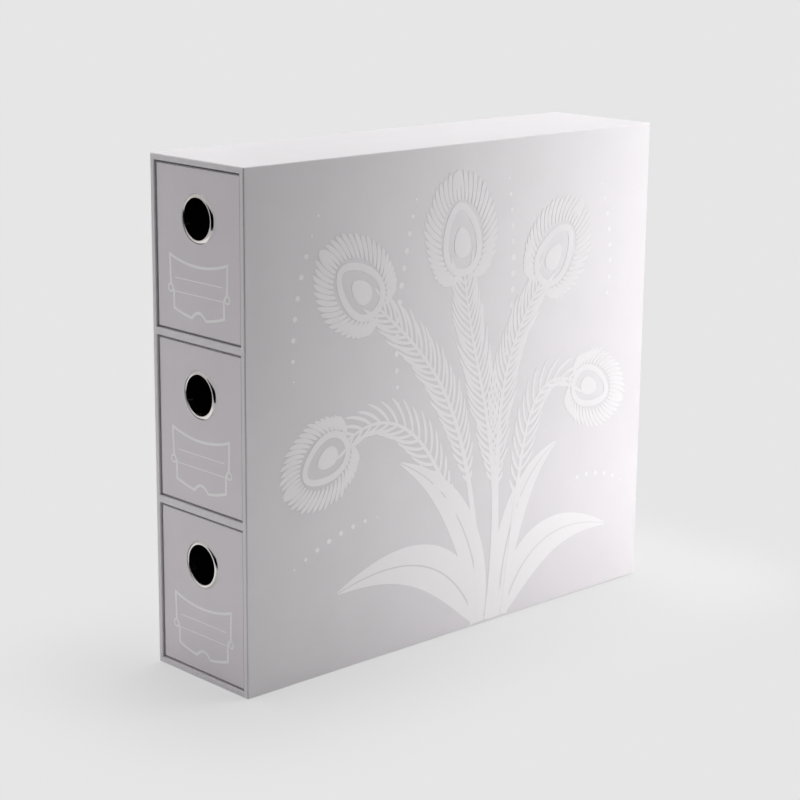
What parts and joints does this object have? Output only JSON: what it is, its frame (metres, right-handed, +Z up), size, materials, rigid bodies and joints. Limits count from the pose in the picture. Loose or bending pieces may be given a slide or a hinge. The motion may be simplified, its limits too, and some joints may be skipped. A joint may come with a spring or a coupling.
{
  "type": "card storage box with drawers",
  "caption": "Tall, deep slip case of white paper-covered board with drawers stacked in its narrow front, each pulled out by a round metal finger ring.",
  "frame": {"origin": "middle of the base, on the surface that the box stands on", "axes": "+Z up; -Y towards the drawer fronts, so a drawer is pulled along -Y; +X to the right of someone who faces the drawers"},
  "size_m": [0.09, 0.365, 0.33],
  "materials": {
    "white_covering_paper": "satin",
    "black_lining_paper": "matte",
    "greyboard": "matte",
    "plated_ring": "polished"
  },
  "bodies": {
    "case": {"case_left_board": "greyboard", "case_right_board": "greyboard", "case_top_board": "greyboard", "case_bottom_board": "greyboard", "case_back_board": "greyboard", "lower_shelf_board": "greyboard", "upper_shelf_board": "greyboard", "lower_shelf_wrap": "white_covering_paper", "upper_shelf_wrap": "white_covering_paper", "case_wrap": "white_covering_paper", "base_sheet": "white_covering_paper", "back_sheet": "white_covering_paper", "lower_bay_liner": "black_lining_paper", "middle_bay_liner": "black_lining_paper", "upper_bay_liner": "black_lining_paper"},
    "lower_drawer": {"lower_drawer_front_board": "greyboard", "lower_drawer_left_board": "greyboard", "lower_drawer_right_board": "greyboard", "lower_drawer_back_board": "greyboard", "lower_drawer_base_board": "greyboard", "lower_drawer_wrap": "white_covering_paper", "lower_drawer_liner": "black_lining_paper", "lower_drawer_finger_ring": "plated_ring", "lower_drawer_ring_washer": "plated_ring"},
    "middle_drawer": {"middle_drawer_front_board": "greyboard", "middle_drawer_left_board": "greyboard", "middle_drawer_right_board": "greyboard", "middle_drawer_back_board": "greyboard", "middle_drawer_base_board": "greyboard", "middle_drawer_wrap": "white_covering_paper", "middle_drawer_liner": "black_lining_paper", "middle_drawer_finger_ring": "plated_ring", "middle_drawer_ring_washer": "plated_ring"},
    "upper_drawer": {"upper_drawer_front_board": "greyboard", "upper_drawer_left_board": "greyboard", "upper_drawer_right_board": "greyboard", "upper_drawer_back_board": "greyboard", "upper_drawer_base_board": "greyboard", "upper_drawer_wrap": "white_covering_paper", "upper_drawer_liner": "black_lining_paper", "upper_drawer_finger_ring": "plated_ring", "upper_drawer_ring_washer": "plated_ring"}
  },
  "joints": [
    {"name": "lower_drawer_slide", "type": "slide", "parent": "case", "child": "lower_drawer", "axis": [0, -1, 0], "range_m": [0, 0.32]},
    {"name": "middle_drawer_slide", "type": "slide", "parent": "case", "child": "middle_drawer", "axis": [0, -1, 0], "range_m": [0, 0.32]},
    {"name": "upper_drawer_slide", "type": "slide", "parent": "case", "child": "upper_drawer", "axis": [0, -1, 0], "range_m": [0, 0.32]}
  ]
}
